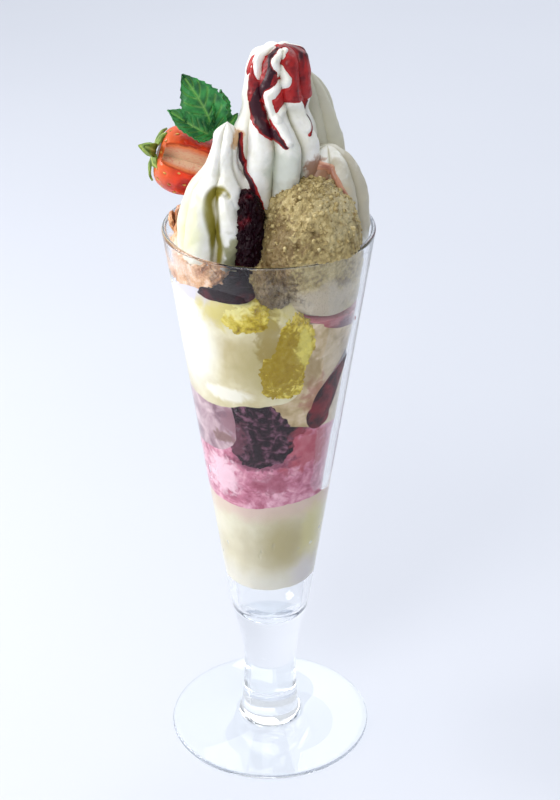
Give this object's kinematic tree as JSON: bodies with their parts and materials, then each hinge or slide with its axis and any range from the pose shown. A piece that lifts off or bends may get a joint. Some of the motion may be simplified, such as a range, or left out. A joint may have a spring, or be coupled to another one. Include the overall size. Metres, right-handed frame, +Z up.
{
  "type": "ice cream sundae",
  "caption": "Tall footed glass filled with layers of ice cream, sorbet, compote and sauce, heaped with a scoop, piped cream, a cut strawberry and mint.",
  "frame": {"origin": "centre of the flat underside of the glass's foot", "axes": "+Z up along the glass's axis, -Y towards the front of the sundae, +X to its right"},
  "size_m": [0.0864, 0.08, 0.2865],
  "materials": {
    "clear_glass": "clear, polished",
    "strawberry": null,
    "calyx": null,
    "mint": null,
    "coffee_ice_cream": null,
    "whipped_cream": null,
    "berry_sauce": null,
    "mango_compote": null,
    "vanilla_ice_cream": null,
    "berry_ripple": null,
    "pale_ice_cream": null,
    "berry_cream": null,
    "dark_berries": null,
    "berry_sorbet": null,
    "cornflakes": null
  },
  "bodies": {
    "root": {"glass": "clear_glass", "strawberry": "strawberry", "strawberry_calyx": "calyx", "mint_sprig": "mint", "coffee_scoop": "coffee_ice_cream", "cream_left": "whipped_cream", "cream_peak": "whipped_cream", "cream_right": "whipped_cream", "cream_back": "whipped_cream", "cream_back_left": "whipped_cream", "cream_back_middle": "whipped_cream", "sauce_pool": "berry_sauce", "mango_compote": "mango_compote", "vanilla_scoop": "vanilla_ice_cream", "ripple_lower": "berry_sauce", "ripple_upper": "berry_ripple", "vanilla_side": "pale_ice_cream", "berry_cream": "berry_cream", "berry_layer": "dark_berries", "berry_sorbet": "berry_sorbet", "vanilla_base": "vanilla_ice_cream", "cornflakes": "cornflakes"}
  },
  "joints": []
}
